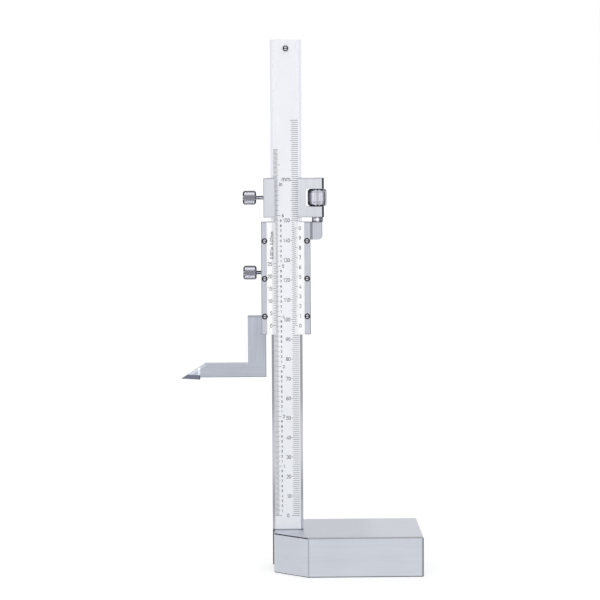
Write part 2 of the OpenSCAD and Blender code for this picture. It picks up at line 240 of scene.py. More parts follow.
def path(*stretches):
    """Points of several stretches, one after another."""
    return np.concatenate([np.atleast_2d(np.array(stretch, float)) for stretch in stretches])


# Each sign is a list of (points, closed) strokes in a cell one unit high
SIGNS = {
    "0": [(oval(0.26, 0.5, 0.25, 0.5), True)],
    "1": [(path((0.08, 0.78), (0.3, 1), (0.3, 0)), False)],
    "2": [(path(arc(0.26, 0.72, 0.24, 0.28, 165, -35), (0.02, 0), (0.52, 0)), False)],
    "3": [(path(arc(0.25, 0.76, 0.23, 0.24, 150, -80), arc(0.25, 0.27, 0.26, 0.27, 80, -150)), False)],
    "4": [(path((0.4, 0), (0.4, 1), (0, 0.3), (0.54, 0.3)), False)],
    "5": [(path((0.48, 1), (0.09, 1), (0.05, 0.56), arc(0.24, 0.33, 0.27, 0.33, 120, -145)), False)],
    "6": [(oval(0.26, 0.3, 0.25, 0.3), True), (arc(0.5, 0.3, 0.49, 0.7, 100, 175), False)],
    "7": [(path((0, 1), (0.52, 1), (0.18, 0)), False)],
    "8": [(oval(0.26, 0.76, 0.21, 0.24), True), (oval(0.26, 0.26, 0.26, 0.26), True)],
    "9": [(oval(0.26, 0.7, 0.25, 0.3), True), (arc(0.02, 0.7, 0.49, 0.7, -80, -5), False)],
    ".": [(path((0.1, 0), (0.1, 0.06)), False)],
    "i": [(path((0.1, 0), (0.1, 0.6)), False), (path((0.1, 0.82), (0.1, 0.88)), False)],
    "n": [(path((0.05, 0), (0.05, 0.6)), False),
          (path((0.05, 0.4), arc(0.25, 0.4, 0.2, 0.2, 170, 0), (0.45, 0)), False)],
    "m": [(path((0.05, 0), (0.05, 0.6)), False),
          (path((0.05, 0.42), arc(0.22, 0.42, 0.17, 0.18, 170, 0), (0.39, 0)), False),
          (path((0.39, 0.42), arc(0.56, 0.42, 0.17, 0.18, 170, 0), (0.73, 0)), False)],
}
NARROW_SIGNS = {".": 0.3, "i": 0.32, "1": 0.6, " ": 0.6, "m": 0.95}


def lettering(face, text, across, up, size, share=0.5, width=STROKE_WIDTH):
    """Strokes of a text of that height, centred on up. share is the part of the text left of across."""
    advances = [NARROW_SIGNS.get(sign, DIGIT_ADVANCE) * size for sign in text]
    start = across - share * (sum(advances) - (DIGIT_ADVANCE - DIGIT_WIDTH) * size)
    parts = []
    for sign, advance in zip(text, advances):
        corner = np.array([start, up - size / 2])
        for points, closed in SIGNS.get(sign, []):
            parts.append(stroke(face, corner + points * size, closed, width))
        start += advance
    return parts


def line_kinds(count, *every):
    """For each line from 0 to count, the number of the last interval in every that it falls on."""
    index = np.arange(count + 1)
    kinds = np.zeros(count + 1, int)
    for kind, interval in enumerate(every, start=1):
        kinds[index % interval == 0] = kind
    return kinds


def beam_marks(finish):
    """Both scales on the beam: their lines, and the numbers beside them."""
    low = box_mm("beam")[0]
    face = Face((beam_centre() / MM, low[1], SCALE_ZERO))
    metric = np.arange(METRIC_DIVISIONS + 1.0)
    metric_starts = np.array(METRIC_STARTS)[line_kinds(METRIC_DIVISIONS, 5, 10)]
    inch = np.arange(INCH_DIVISIONS + 1) * INCH_DIVISION * INCH
    inch_ends = np.array(INCH_ENDS)[line_kinds(INCH_DIVISIONS, 4, 40)]
    ruled = [lines(face, metric_starts, METRIC_END, metric), lines(face, INCH_START, inch_ends, inch)]
    piece("beam_lines", "base", *join(ruled), finish)

    numbers = lettering(face, "0", ZERO_NUMBER_CENTRE, 0, NUMBER_HEIGHT)
    for value in range(10, METRIC_NUMBERS + 1, 10):
        numbers += lettering(face, str(value), METRIC_NUMBER_RIGHT, value, NUMBER_HEIGHT, share=1)
    for tenth in range(1, INCH_NUMBERS + 1):
        height = tenth * INCH / 10
        if tenth % 10:
            numbers += lettering(face, str(tenth % 10), TENTH_DIGIT_CENTRE, height, TENTH_HEIGHT,
                                 width=FINE_STROKE_WIDTH)
        else:
            numbers += lettering(face, str(tenth // 10), INCH_DIGIT_CENTRE, height, INCH_NUMBER_HEIGHT)
    numbers += lettering(face, "mm", *UNIT_MARK_MM)
    numbers += lettering(face, "in", *UNIT_MARK_IN)
    piece("beam_numbers", "base", *join(numbers), finish)


def vernier_marks(finish):
    """Lines on the bevels of both vernier plates, and their numbers on the flats. Both bevels are measured
    to the right: the metric one starts at its thin edge, and the inch one ends there."""
    zero = box_mm("carbide_tip")[0][2] + TIP_TO_VERNIER_ZERO
    centre = beam_centre() / MM

    low, high = box_mm("metric_vernier_plate")
    drop = high[1] - VERNIER_EDGE - low[1]
    bevel = Face((low[0], low[1] + drop, zero), (VERNIER_BEVEL, -drop, 0))
    flat = Face((centre, low[1], zero))
    divisions, length = METRIC_VERNIER
    heights = np.arange(divisions + 1) * length / divisions
    ends = np.array(VERNIER_LINES)[line_kinds(divisions, VERNIER_NUMBERED)]
    marks = [lines(bevel, LINE_INSET, ends, heights, VERNIER_LINE_WIDTH)]
    for index in range(0, divisions + 1, VERNIER_NUMBERED):
        digit = str(index // VERNIER_NUMBERED % 10)
        marks += lettering(flat, digit, METRIC_VERNIER_NUMBERS, heights[index], NUMBER_HEIGHT)
    piece("metric_vernier_marks", "slider", *join(marks), finish)

    low, high = box_mm("inch_vernier_plate")
    drop = high[1] - VERNIER_EDGE - low[1]
    bevel = Face((high[0] - VERNIER_BEVEL, low[1], zero), (VERNIER_BEVEL, drop, 0))
    flat = Face((centre, low[1], zero))
    divisions, length = INCH_VERNIER
    heights = np.arange(divisions + 1) * length / divisions
    width = np.hypot(VERNIER_BEVEL, drop)
    starts = width - np.array(VERNIER_LINES)[line_kinds(divisions, VERNIER_NUMBERED)]
    marks = [lines(bevel, starts, width - LINE_INSET, heights, VERNIER_LINE_WIDTH)]
    for index in range(0, divisions + 1, VERNIER_NUMBERED):
        marks += lettering(flat, str(index), INCH_VERNIER_NUMBERS, heights[index], INCH_VERNIER_HEIGHT, 1)
    start = (centre + RESOLUTIONS_ACROSS, low[1], zero + heights[-1] + RESOLUTIONS_ABOVE)
    upward = Face(start, right=(0, 0, 1), up=(-1, 0, 0))
    marks += lettering(upward, "0.001in 0.02mm", 0, 0, WORDING_HEIGHT, 0, WORDING_STROKE_WIDTH)
    piece("inch_vernier_marks", "slider", *join(marks), finish)


# Turned parts: a profile of (radius, along) points carried round an axis

def ring_faces(rings, sides):
    """Quads between neighbouring rings of points, closed round the axis."""
    ring, side = np.meshgrid(np.arange(rings - 1), np.arange(sides), indexing="ij")
    beside = (side + 1) % sides
    here, ahead = ring * sides, (ring + 1) * sides
    quads = [here + side, here + beside, ahead + beside, ahead + side]
    return np.stack(quads, axis=-1).reshape(-1, 4).tolist()


def turned_faces(rings, sides):
    """ring_faces, with both ends closed by fans to the two last points."""
    faces = ring_faces(rings, sides)
    side = np.arange(sides)
    beside = (side + 1) % sides
    first, last = rings * sides, (rings - 1) * sides
    faces += np.stack([np.full(sides, first), beside, side], axis=-1).tolist()
    faces += np.stack([np.full(sides, first + 1), last + side, last + beside], axis=-1).tolist()
    return faces


def turned_vertices(radius, along, angle, poles):
    """Points at (radius cos, radius sin, along) for each ring and angle, and both end points on the axis."""
    along = np.broadcast_to(along, radius.shape)
    rings = np.stack([radius * np.cos(angle), radius * np.sin(angle), along], axis=-1)
    ends = np.array([[0, 0, poles[0]], [0, 0, poles[1]]])
    return np.concatenate([rings.reshape(-1, 3), ends])


def along_x(points, origin):
    """Turns a part made along +Z to lie along +X, keeping its hand, and moves it to its origin."""
    return points[:, [2, 0, 1]] + origin


def knurl_depth(angle, along, count, lean, crest):
    """Depth share of a knurl: two sets of helical grooves, turned lean radians a millimetre each way. In
    each set the depth is a triangle wave across the grooves, cut off so that the share crest stays flat."""
    turns = [(angle + sign * lean * along) * count / (2 * np.pi) for sign in (1, -1)]
    waves = [np.abs(turn % 1 * 2 - 1) for turn in turns]
    return np.clip((np.maximum(*waves) - crest) / (1 - crest), 0, 1)


def knurled_grip(radius, length, knurl, bore, bore_depth):
    """A knurled grip along +Z from 0 to length, with crossed or straight grooves. The radius is the smaller
    of the knurled cylinder and the two chamfer cones, and a smooth bore goes in from z = 0. A bore as deep
    as the grip goes right through. Returns vertices, faces and each vertex's groove share of painted shade:
    in the grooves it paints shade into the knurl's hollows. On the cones it is 1, a painted dark reflection,
    and 0 around the angles that lie CONE_GLEAM to either side of every quarter turn."""
    depth, chamfer = knurl["depth"], knurl["chamfer"]
    angle = np.linspace(0, 2 * np.pi, knurl["count"] * KNURL_POINTS, endpoint=False)[None, :]
    slope = np.linspace(0, chamfer + depth, CHAMFER_RINGS)
    steps = int(length * knurl["count"] / radius) if knurl["crossed"] else STRAIGHT_RINGS
    middle = np.linspace(slope[-1], length - slope[-1], steps)[1:-1]
    along = np.concatenate([slope, middle, length - slope[::-1]])
    smooth = (radius - chamfer + np.minimum(np.minimum(along, length - along), chamfer))[:, None]
    lean = 1 / radius if knurl["crossed"] else 0
    cut = knurl_depth(angle, along[:, None], knurl["count"], lean, knurl["crest"])
    outer = np.minimum(radius - depth * cut, smooth)
    through = int(bore_depth >= length)
    inner_end = length if through else bore_depth
    bore_ring = np.full(angle.shape, bore)
    radii = [bore_ring, bore_ring, outer] + [bore_ring] * through
    levels = np.concatenate([[inner_end, 0], along, [length] * through])
    # Painted shade: the knurl's hollows by their depth, and the cones all round except near CONE_GLEAM
    from_quarter = np.abs((np.degrees(angle) + 45) % 90 - 45)
    off_gleam = np.abs(from_quarter - CONE_GLEAM) - CONE_GLEAM_HALF
    cone_painted_shade = np.clip(off_gleam / CONE_GLEAM_FADE, 0, 1)
    share = np.where(smooth < radius - depth * 0.5, cone_painted_shade, (smooth - outer) / depth)
    groove = np.concatenate([np.zeros((2, angle.size)), share, np.zeros((through, angle.size))])
    vertices = turned_vertices(np.concatenate(radii), levels[:, None], angle, (inner_end, length))
    if through:
        return vertices[:-2], ring_faces(len(levels), angle.size), groove.ravel()
    return vertices, turned_faces(len(levels), angle.size), np.append(groove.ravel(), [0, 0])


def threaded_rod(radius, length, pitch, chamfer):
    """A threaded rod along +Z from 0 to length: the radius falls from crest to root and back once a pitch
    along the axis, and the pattern climbs one pitch a turn. Cones chamfer both ends."""
    angle = np.linspace(0, 2 * np.pi, THREAD_SIDES, endpoint=False)[None, :]
    along = np.linspace(0, length, int(length / pitch * THREAD_RINGS) + 1)[:, None]
    phase = (along / pitch - angle / (2 * np.pi)) % 1
    groove = np.clip(0.5 + THREAD_SLOPE * (0.5 - np.abs(2 * phase - 1)), 0, 1)
    cone = radius - chamfer + np.minimum(along, length - along)
    thread = np.minimum(radius - THREAD_DEPTH * groove, cone)
    return turned_vertices(thread, along, angle, (0, length)), turned_faces(*thread.shape)


def clamp_screws(chrome, steel):
    """Knurled knobs and threaded studs of both clamp screws, lying along X to the left of the beam."""
    for guide in ("slider", "carriage"):
        body = guide + "_clamp"
        low, high = box_mm(guide + "_clamp_knob")
        middle = (low + high) / 2
        stud_low, stud_high = box_mm(guide + "_clamp_stud")
        stud_radius = (stud_high[2] - stud_low[2]) / 2
        # The grip is made with its bore at z = 0, so it is turned to point along -X
        points, faces, groove = knurled_grip((high[2] - low[2]) / 2, high[0] - low[0], KNOB_KNURL,
                                             stud_radius + KNOB_FIT, high[0] - stud_low[0])
        points = along_x(points * (1, -1, -1), (high[0], middle[1], middle[2]))
        knob = piece(body + "_grip", body, points, faces, chrome, "knurled_chrome", KNURL_SHARP, groove)
        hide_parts(guide + "_clamp_knob")
        rod = threaded_rod(stud_radius, stud_high[0] - stud_low[0], *STUD_THREAD)
        points = along_x(rod[0], (stud_low[0], middle[1], middle[2]))
        stud = piece(body + "_thread", body, points, rod[1], steel, "stud_steel", THREAD_SHARP)
        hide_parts(guide + "_clamp_stud")


def fine_adjustment(chrome, steel):
    """Knurled nut in the carriage's pocket, and the threaded rod that it drives."""
    low, high = box_mm("adjusting_rod")
    middle = (low + high) / 2
    radius = (high[0] - low[0]) / 2
    rod = threaded_rod(radius, high[2] - low[2], *ROD_THREAD)
    thread = piece("fine_screw_thread", "slider", rod[0] + (middle[0], middle[1], low[2]), rod[1],
                   steel, "stud_steel", THREAD_SHARP)
    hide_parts("adjusting_rod")
    low, high = box_mm("fine_adjust_nut")
    nut_radius, length = (high[0] - low[0]) / 2, high[2] - low[2]
    points, faces, groove = knurled_grip(nut_radius, length, NUT_KNURL, radius + BORE_GAP, length)
    points = points + (middle[0], middle[1], low[2])
    nut = piece("fine_adjust_grip", "fine_nut", points, faces, chrome, "knurled_chrome", KNURL_SHARP, groove)
    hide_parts("fine_adjust_nut")


# Shader tools

def add(tree, kind, values=(), **settings):
    """A node of that kind. values gives its inputs numbers or other nodes' outputs."""
    node = tree.nodes.new(kind)
    for key, value in settings.items():
        setattr(node, key, value)
    for socket, value in dict(values).items():
        if isinstance(value, bpy.types.NodeSocket):
            tree.links.new(value, node.inputs[socket])
        else:
            node.inputs[socket].default_value = value
    return node


def maths(tree, operation, *terms):
    """Output of a Math node."""
    return add(tree, "ShaderNodeMath", enumerate(terms), operation=operation).outputs[0]


def times(tree, first, second):
    """Product of two numbers."""
    return maths(tree, "MULTIPLY", first, second)


def minus(tree, first, second):
    """Difference of two numbers."""
    return maths(tree, "SUBTRACT", first, second)


def object_place(tree):
    """Place in the object's own coordinates."""
    return add(tree, "ShaderNodeTexCoord").outputs["Object"]


def vectors(tree, operation, *terms):
    """Output of a Vector Math node, which is a number for a length or a dot product."""
    node = add(tree, "ShaderNodeVectorMath", enumerate(terms), operation=operation)
    return next(output for output in node.outputs if output.enabled)


def scaled(tree, vector, by):
    """A vector times a number."""
    return add(tree, "ShaderNodeVectorMath", {0: vector, "Scale": by}, operation="SCALE").outputs[0]


def darken(tree, colour, mask, share):
    """A colour made darker by that share where the mask is 1."""
    shade = times(tree, mask, share)
    return scaled(tree, colour, minus(tree, 1.0, shade))


def fade(tree, value, low, high, start=0.0, end=1.0):
    """value taken from low..high to start..end along a smooth curve."""
    limits = {"Value": value, "From Min": low, "From Max": high, "To Min": start, "To Max": end}
    return add(tree, "ShaderNodeMapRange", limits, interpolation_type="SMOOTHSTEP").outputs["Result"]


def fall(tree, value, low, high):
    """1 up to low, and down to 0 at high."""
    return fade(tree, value, low, high, 1.0, 0.0)


def mixed(tree, share, first, second):
    """first where share is 0, second where it is 1."""
    return maths(tree, "MULTIPLY_ADD", minus(tree, second, first), share, first)


def noise(tree, vector, scale, detail=3.0, roughness=0.6):
    """Value of a noise texture."""
    settings = {"Vector": vector, "Scale": scale, "Detail": detail, "Roughness": roughness}
    return add(tree, "ShaderNodeTexNoise", settings).outputs[0]


def group(name, inputs, outputs):
    """An empty shader node group with its sockets, and its two end nodes."""
    tree = bpy.data.node_groups.new(name, "ShaderNodeTree")
    for label, kind, value in inputs:
        socket = tree.interface.new_socket(label, in_out="INPUT", socket_type=kind)
        socket.default_value = value
    for label, kind in outputs:
        tree.interface.new_socket(label, in_out="OUTPUT", socket_type=kind)
    return tree, tree.nodes.new("NodeGroupInput").outputs, tree.nodes.new("NodeGroupOutput").inputs


FLOAT, COLOUR, VECTOR = "NodeSocketFloat", "NodeSocketColor", "NodeSocketVector"
SURFACE = [("Colour", COLOUR), ("Roughness", FLOAT), ("Height", FLOAT)]


def surface_outputs(tree, source, sink, pattern, height):
    """Colour is the tone made lighter or darker by the pattern, and the roughness shifts with it."""
    shift = minus(tree, pattern, 0.5)
    factor = maths(tree, "MULTIPLY_ADD", shift, source["Spread"], 1.0)
    colour = scaled(tree, source["Tone"], factor)
    roughness = maths(tree, "MULTIPLY_ADD", shift, source["Wander"], source["Roughness"])
    tree.links.new(colour, sink["Colour"])
    tree.links.new(roughness, sink["Roughness"])
    tree.links.new(height, sink["Height"])
    return colour, roughness


def ground_surface():
    """Ground steel: long fine streaks, broader ones under them, and faint clouds. Bevelled faces and
    roundings, whose normals lie along no axis, are smoother, and darker by a painted shade of the share
    given. Upright = 0 leaves out faces that stand upright."""
    tree, source, sink = group("ground surface", [
        ("Tone", COLOUR, (0.6, 0.6, 0.6, 1)), ("Grain", VECTOR, (60, 1500, 4000)), ("Spread", FLOAT, 0.2),
        ("Roughness", FLOAT, 0.35), ("Wander", FLOAT, 0.2), ("Bevels", FLOAT, 0.0),
        ("Upright", FLOAT, 1.0)], SURFACE)
    coordinates = add(tree, "ShaderNodeTexCoord").outputs
    place = coordinates["Object"]
    stretched = vectors(tree, "MULTIPLY", place, source["Grain"])
    fine = noise(tree, stretched, scale=1.0, detail=4.0, roughness=0.7)
    broad = noise(tree, stretched, scale=0.18, detail=2.0)
    clouds = noise(tree, place, scale=38.0, detail=2.0)
    pattern = maths(tree, "ADD", times(tree, fine, 0.5), times(tree, broad, 0.2))
    pattern = maths(tree, "MULTIPLY_ADD", clouds, 0.3, pattern)
    facing = vectors(tree, "ABSOLUTE", coordinates["Normal"])
    x, y, z = add(tree, "ShaderNodeSeparateXYZ", {0: facing}).outputs
    level_part = maths(tree, "SQRT", minus(tree, 1.0, times(tree, z, z)))
    level_part = minus(tree, level_part, source["Upright"])
    nearest_axis = maths(tree, "MAXIMUM", x, y)
    nearest_axis = maths(tree, "MAXIMUM", nearest_axis, maths(tree, "MAXIMUM", z, level_part))
    bevel = fall(tree, nearest_axis, 0.95, 0.98)
    colour, roughness = surface_outputs(tree, source, sink, pattern, fine)
    # Painted shade on bevels and roundings
    tree.links.new(darken(tree, colour, bevel, source["Bevels"]), sink["Colour"])
    smoother = maths(tree, "MULTIPLY_ADD", bevel, -0.65, 1.0)
    tree.links.new(times(tree, roughness, smoother), sink["Roughness"])
    return tree


def satin_surface():
    """Satin chrome: a fine even speckle with faint clouds."""
    tree, source, sink = group("satin surface", [
        ("Tone", COLOUR, (0.9, 0.9, 0.9, 1)), ("Grain", FLOAT, 7000.0), ("Spread", FLOAT, 0.08),
        ("Roughness", FLOAT, 0.5), ("Wander", FLOAT, 0.1)], SURFACE)
    place = object_place(tree)
    speckle = noise(tree, place, source["Grain"], detail=2.0)
    clouds = noise(tree, place, scale=60.0, detail=3.0)
    pattern = maths(tree, "ADD", times(tree, speckle, 0.5), times(tree, clouds, 0.5))
    surface_outputs(tree, source, sink, pattern, speckle)
    return tree


def level_mask():
    """1 where the place along Axis lies below Level, else 0, with a straight change over Blur."""
    tree, source, sink = group("level mask", [
        ("Axis", VECTOR, (0, 1, 0)), ("Level", FLOAT, 0.0), ("Blur", FLOAT, 0.0)], [("Mask", FLOAT)])
    place = object_place(tree)
    gap = minus(tree, source["Level"], vectors(tree, "DOT_PRODUCT", place, source["Axis"]))
    share = maths(tree, "DIVIDE", gap, source["Blur"])
    clamped = add(tree, "ShaderNodeClamp", {"Value": maths(tree, "ADD", share, 0.5)}).outputs[0]
    tree.links.new(clamped, sink["Mask"])
    return tree


def box_edges():
    """1 along the edges of a box from Low to High, fading to 0 within Width. On each face only the
    distances to the planes beside it count, because its own normal puts its own plane far away."""
    tree, source, sink = group("box edges", [
        ("Low", VECTOR, (-1, -1, -1)), ("High", VECTOR, (1, 1, 1)), ("Width", FLOAT, 0.0003)],
        [("Mask", FLOAT)])
    coordinates = add(tree, "ShaderNodeTexCoord").outputs
    from_low = vectors(tree, "SUBTRACT", coordinates["Object"], source["Low"])
    from_high = vectors(tree, "SUBTRACT", source["High"], coordinates["Object"])
    nearer = vectors(tree, "MINIMUM", from_low, from_high)
    facing = vectors(tree, "ABSOLUTE", coordinates["Normal"])
    gaps = vectors(tree, "ADD", nearer, facing)
    x, y, z = add(tree, "ShaderNodeSeparateXYZ", {0: gaps}).outputs
    nearest = maths(tree, "MINIMUM", maths(tree, "MINIMUM", x, y), z)
    share = maths(tree, "DIVIDE", nearest, source["Width"])
    clamped = add(tree, "ShaderNodeClamp", {"Value": minus(tree, 1.0, share)}).outputs[0]
    tree.links.new(clamped, sink["Mask"])
    return tree


def axis_distance():
    """Distance from an axis along Y through Centre, in the object's X and Z."""
    tree, source, sink = group("axis distance", [("Centre", VECTOR, (0, 0, 0))], [("Distance", FLOAT)])
    place = object_place(tree)
    gap = vectors(tree, "SUBTRACT", place, source["Centre"])
    flat = vectors(tree, "MULTIPLY", gap, (1, 0, 1))
    tree.links.new(vectors(tree, "LENGTH", flat), sink["Distance"])
    return tree


GROUPS = {
    "ground": ground_surface(), "satin": satin_surface(),
    "level": level_mask(), "axis": axis_distance(), "edges": box_edges(),
}


def linear(red, green, blue):
    """Linear colour of an 8-bit sRGB one."""
    share = np.array([red, green, blue]) / 255
    return (*np.where(share <= 0.04045, share / 12.92, ((share + 0.055) / 1.055) ** 2.4).tolist(), 1.0)


def material(name, metallic=1.0):
    """A material with its Principled shader."""
    made = bpy.data.materials.new(name)
    made.use_nodes = True
    shader = made.node_tree.nodes["Principled BSDF"]
    shader.inputs["Metallic"].default_value = metallic
    return made, made.node_tree, shader


def use_group(tree, name, **values):
    """One of the node groups, with its inputs set."""
    return add(tree, "ShaderNodeGroup", values, node_tree=GROUPS[name]).outputs


def dress(tree, shader, colour, roughness, height, depth):
    """Joins colour, roughness and a bump of that depth in metres to the shader."""
    tree.links.new(colour, shader.inputs["Base Color"])
    tree.links.new(roughness, shader.inputs["Roughness"])
    bump = add(tree, "ShaderNodeBump", {"Height": height, "Strength": 0.6, "Distance": depth})
    tree.links.new(bump.outputs["Normal"], shader.inputs["Normal"])


def blend(tree, mask, first, second):
    """Colour, roughness and height of two surfaces, mixed by a mask."""
    outputs = []
    for label, kind in SURFACE:
        is_colour = kind == COLOUR
        node = add(tree, "ShaderNodeMix", data_type="RGBA" if is_colour else "FLOAT")
        sockets = [socket for socket in node.inputs if socket.enabled]
        for socket, value in zip(sockets, (mask, first[label], second[label])):
            tree.links.new(value, socket)
        outputs.append(next(output for output in node.outputs if output.enabled))
    return outputs


# Finishes

BASE_CUT = 0.0166  # length along X of the base's corner cuts, in metres, as the values below
SLIDER_RIM = 0.0032  # width of the slider's front rim beside the metric plate
TIP_BEVEL = 0.0444  # where the scriber's front bevel starts, left of the beam's centre line
FOOT_HEIGHT = 0.0065  # of the scriber's level part
STOP_SCREW_BRIGHT = 0.00085  # radius of the bright middle of the stop screw's head, round which the head has a painted dark ring
PLATE_SCREW_BRIGHT = 0.00078
SCREW_FACE = 0.0001  # depth below the heads' faces where the painted shade of the slots starts
BEAM_FACE = 0.00003  # depth of the satin of the scale face, round to its bevels
STEEL_BUMP = 0.000012  # depth of the grain
ARM_BUMP = 0.000015
FINE_BUMP = 0.00001
SATIN_BUMP = 0.000008
TIP_SLOPE = 32.9  # slope of the tip's upper face, in degrees
HEAD_STEEL = {"roughness": 0.34, "spread": 0.5}  # of the slider and the carriage
ALONG_X = (60.0, 1500.0, 1800.0)  # stretch of the grain: long along X
ALONG_Z = (1800.0, 1500.0, 50.0)
X_AXIS, Y_AXIS, Z_AXIS = (1, 0, 0), (0, 1, 0), (0, 0, 1)
TO_FRONT = (0, -1, 0)

BASE_TONE = linear(203, 207, 216)
SLIDER_TONE = linear(196, 199, 208)
CARRIAGE_TONE = linear(214, 217, 223)
ARM_TONE = linear(178, 183, 194)
BEVEL_TONE = linear(181, 182, 190)
SCALE_TONE = linear(230, 232, 236)
PLATE_TONE = linear(241, 242, 244)
CARBIDE_TONE = linear(86, 87, 100)
DARK_TONE = linear(46, 46, 58)
SCREW_TONE = linear(222, 222, 228)
STUD_TONE = linear(227, 228, 235)
KNOB_TONE = linear(178, 178, 189)
NUT_TONE = linear(186, 187, 196)
LOCK_NUT_TONE = linear(146, 146, 156)
BRONZE_TONE = linear(196, 160, 104)
INK_TONE = linear(22, 22, 32)


def below(tree, axis, level, blur=0.00001):
    """1 below a level along an axis, else 0."""
    return use_group(tree, "level", Axis=axis, Level=level, Blur=blur)["Mask"]


def satin_finish(name, tone, roughness, metallic=1.0, spread=0.1, painted_groove_shade=0.0):
    """Satin chrome all over, with painted shade of the share given in the grooves and on the chamfers of a
    knurl.
    """
    made, tree, shader = material(name, metallic)
    satin = use_group(tree, "satin", Tone=tone, Roughness=roughness, Spread=spread)
    groove = add(tree, "ShaderNodeAttribute", attribute_name="groove").outputs["Fac"]
    # Painted shade where the groove attribute is set: in knurl grooves and on their chamfers
    colour = darken(tree, satin["Colour"], groove, painted_groove_shade)
    dress(tree, shader, colour, satin["Roughness"], satin["Height"], SATIN_BUMP)
    return made


def band(tree, axis, middle, half_width, facing, least=0.95):
    """1 in a narrow band across an axis, on faces whose normal has more than least of facing."""
    coordinates = add(tree, "ShaderNodeTexCoord").outputs
    place = vectors(tree, "DOT_PRODUCT", coordinates["Object"], axis)
    turned = vectors(tree, "DOT_PRODUCT", coordinates["Normal"], facing)
    gap = maths(tree, "ABSOLUTE", minus(tree, place, middle))
    across = fall(tree, gap, half_width * 0.7, half_width)
    return times(tree, across, fade(tree, turned, least, least + 0.03))


def shaded(tree, colour, node, bands, painted_edge_shade=0.5, edge_width=0.0006):
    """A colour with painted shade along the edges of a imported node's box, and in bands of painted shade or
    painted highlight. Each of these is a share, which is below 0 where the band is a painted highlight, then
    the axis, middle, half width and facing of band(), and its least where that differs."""
    low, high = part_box(node)
    edges = use_group(tree, "edges", Low=low, High=high, Width=edge_width)["Mask"]
    colour = darken(tree, colour, edges, painted_edge_shade)
    for share, *place in bands:
        colour = darken(tree, colour, band(tree, *place), share)
    return colour


def ground_finish(name, tone, grain, roughness, node=None, bands=(), edges=(), spread=0.3, bevels=0.0,
                  upright=1.0):
    """Ground steel all over, with painted shade on bevels. A named node's edges and bands get painted shade
    and highlights.
    """
    made, tree, shader = material(name)
    steel = use_group(tree, "ground", Tone=tone, Grain=grain, Roughness=roughness, Spread=spread,
                      Bevels=bevels, Upright=upright)
    colour = shaded(tree, steel["Colour"], node, bands, *edges) if node else steel["Colour"]
    dress(tree, shader, colour, steel["Roughness"], steel["Height"], STEEL_BUMP)
    return made


def base_finish():
    """Steel ground lengthwise, with painted shade in dark lines beside its front edges and on its bevels,
    and painted shade a little darker on top towards the left."""
    low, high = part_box("base_block")
    # Painted shade: lines beside the front edges, and a little on top towards the left
    bands = [
        (0.3, X_AXIS, low.x + BASE_CUT + 0.0004, 0.0004, TO_FRONT),
        (0.35, Y_AXIS, low.y + 0.0012, 0.0012, Z_AXIS),
        (0.5, X_AXIS, high.x - 0.0004, 0.0006, TO_FRONT),
        (0.1, X_AXIS, low.x + 0.015, 0.04, Z_AXIS),
    ]
    return ground_finish("base finish", BASE_TONE, ALONG_X, 0.34, "base_block", bands,
                         spread=0.38, bevels=0.88, upright=0.0)


def beam_finish():
    """Satin chrome on the scale face, ground steel on the bevels, edges and back, and a painted shadow at
    the foot.
    """
    made, tree, shader = material("beam finish", metallic=0.7)
    mask = below(tree, Y_AXIS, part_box("beam")[0].y + BEAM_FACE)
    steel = use_group(tree, "ground", Tone=BEVEL_TONE, Grain=ALONG_Z, Roughness=0.2, Spread=0.15, Wander=0.1)
    satin = use_group(tree, "satin", Tone=SCALE_TONE, Roughness=0.5, Spread=0.08)
    colour, roughness, height = blend(tree, mask, steel, satin)
    # Painted shadow along the beam's foot, where it stands in the base
    foot = below(tree, Z_AXIS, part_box("base_block")[1].z + 0.0003, blur=0.0002)
    dress(tree, shader, darken(tree, colour, foot, 0.75), roughness, height, FINE_BUMP)
    return made


def lock_nut_finish():
    """Dull steel, with painted shade on the rims and the right facet, and a painted highlight in front."""
    low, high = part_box("rod_lock_nut")
    # Painted shade on the right facet and the left rim; the share below 0 is a painted highlight
    bands = [
        (0.65, X_AXIS, high.x - 0.0005, 0.0016, TO_FRONT, 0.5),
        (-1.6, X_AXIS, (low.x + high.x) / 2, 0.0005, TO_FRONT, 0.5),
        (0.75, X_AXIS, low.x + 0.0004, 0.0004, TO_FRONT, 0.5),
    ]
    return ground_finish("lock nut finish", LOCK_NUT_TONE, ALONG_X, 0.3, "rod_lock_nut", bands,
                         edges=(0.95, 0.0008))


def slider_finish():
    """Ground steel, upright streaks, and a painted shadow where the lug's face meets the channel's side."""
    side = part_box("metric_vernier_plate")[1].x + SLIDER_RIM
    # Painted shadow line on the lug's face beside the channel's side; the bevels get painted shade too
    step = (0.5, X_AXIS, side + 0.0005, 0.0006, TO_FRONT)
    return ground_finish("slider finish", SLIDER_TONE, ALONG_Z, node="slider_frame", bands=[step],
                         bevels=0.15, **HEAD_STEEL)


def carriage_finish():
    """Ground steel with upright streaks, and a painted dark reflection down the rounding at its right side.
    """
    # Painted dark reflection along the right rounding; the bevels get painted shade too
    rounding = (0.88, X_AXIS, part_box("carriage_frame")[1].x, 0.0012, (1, -1, 0), 1.1)
    return ground_finish("carriage finish", CARRIAGE_TONE, ALONG_Z, node="carriage_frame", bands=[rounding],
                         bevels=0.55, **HEAD_STEEL)


